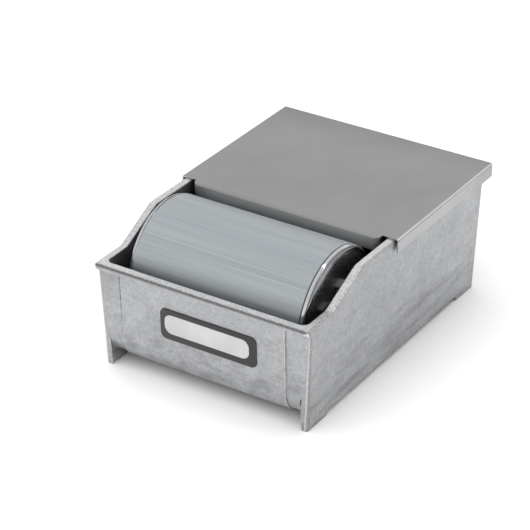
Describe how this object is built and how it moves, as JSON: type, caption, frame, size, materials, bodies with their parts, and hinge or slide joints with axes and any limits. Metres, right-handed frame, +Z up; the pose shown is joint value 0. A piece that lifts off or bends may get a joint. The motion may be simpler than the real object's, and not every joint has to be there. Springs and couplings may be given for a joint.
{
  "type": "butter spreader",
  "caption": "Countertop butter spreader: a wide metal roller turns in a cast aluminium well in front of a warmed reservoir under a loose sheet lid.",
  "frame": {"origin": "centre of the footprint, on the surface it stands on", "axes": "+X to the object's right seen from the front, +Y towards the back, +Z up"},
  "size_m": [0.143, 0.2, 0.0868],
  "materials": {
    "cast_aluminium": "satin as-cast aluminium, fine mottled grain",
    "turned_aluminium": "turned and brushed along the axis",
    "satin_steel": "satin stainless sheet",
    "polished_cap": "polished",
    "plain_steel": "zinc plated",
    "plate_border": "satin dark grey paint",
    "plate_field": "fine brushed",
    "nylon": "natural nylon",
    "black_plastic": "moulded black",
    "brass": "plain brass",
    "lead_black": "smooth insulation",
    "lead_red": "smooth insulation",
    "lead_blue": "smooth insulation",
    "lead_green": "smooth insulation"
  },
  "bodies": {
    "housing": {"body_casting": "cast_aluminium", "name_plate": "plate_border", "name_plate_inlay": "plate_field", "heater_strip": "plain_steel", "heater_clamp_bar": "plain_steel", "heater_clamp_screws": "plain_steel", "thermostat": "black_plastic", "thermostat_screws": "plain_steel", "terminal_block": "nylon", "terminal_screws": "brass", "earth_terminal": "brass", "earth_screw": "brass", "cord_gland": "black_plastic", "gland_nut": "black_plastic", "supply_lead": "lead_black", "heater_lead": "lead_red", "return_lead": "lead_blue", "earth_lead": "lead_green", "bottom_cover": "satin_steel", "cover_screws": "plain_steel"},
    "lid": {"lid_cover": "satin_steel"},
    "roller_bushes": {"axle_bush_left": "nylon", "axle_bush_right": "nylon"},
    "roller": {"drum_shell": "turned_aluminium", "drum_cap_left": "polished_cap", "drum_cap_right": "polished_cap", "drum_hub_left": "plain_steel", "drum_hub_right": "plain_steel", "drum_axle": "plain_steel"}
  },
  "joints": [
    {"name": "lid_lift", "type": "slide", "parent": "housing", "child": "lid", "axis": [0, 0, 1], "range_m": [0, 0.12]},
    {"name": "roller_lift", "type": "slide", "parent": "housing", "child": "roller_bushes", "axis": [0, -0.2924, 0.9563], "range_m": [0, 0.06]},
    {"name": "roller_spin", "type": "hinge", "parent": "roller_bushes", "child": "roller", "pos_m": [0, -0.0479, 0.0486], "axis": [1, 0, 0], "continuous": true}
  ]
}
